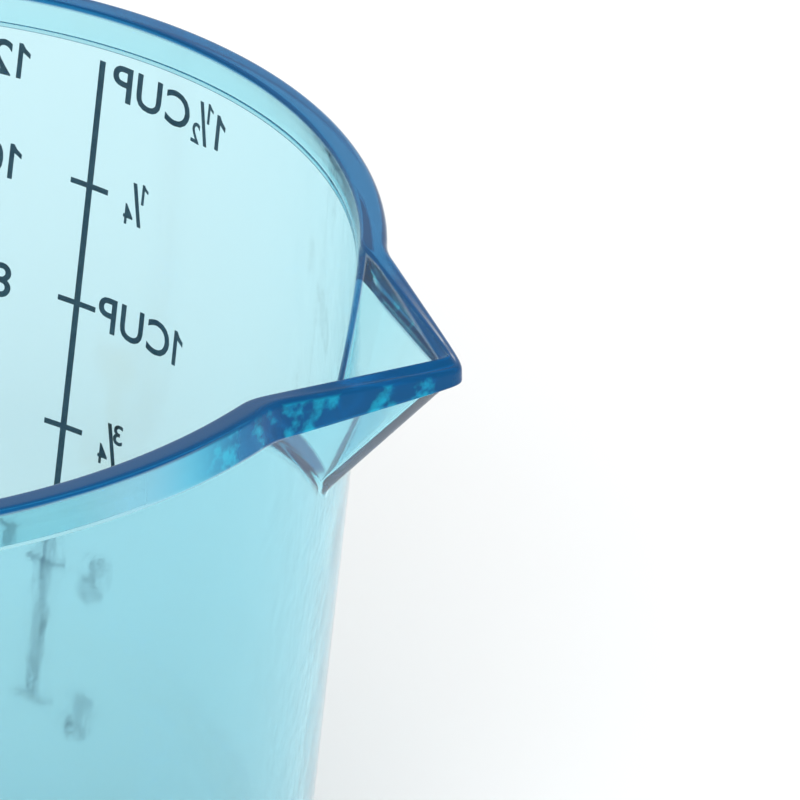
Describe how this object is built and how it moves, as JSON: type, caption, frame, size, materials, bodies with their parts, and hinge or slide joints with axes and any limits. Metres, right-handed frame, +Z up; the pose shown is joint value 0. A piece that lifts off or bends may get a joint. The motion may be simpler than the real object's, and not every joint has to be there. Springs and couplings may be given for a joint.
{
  "type": "graduated measuring cup with pour spout",
  "caption": "Tapered cup of clear blue plastic with a raised rim band, a V pouring spout, a loop handle and printed scales in cups, fluid ounces and millilitres.",
  "frame": {"origin": "centre of the foot ring, on the surface the cup stands on", "axes": "+Z up along the cup's axis, +X from the axis to the tip of the spout, the handle along -X"},
  "size_m": [0.1315, 0.0944, 0.077],
  "materials": {
    "clear_plastic": "clear, light blue, glossy",
    "print_ink": "matte screen print"
  },
  "bodies": {
    "root": {"cup_body": "clear_plastic", "handle": "clear_plastic", "measure_rule": "print_ink", "cup_figures": "print_ink", "ounce_figures": "print_ink", "metric_rule": "print_ink", "metric_figures": "print_ink"}
  },
  "joints": []
}
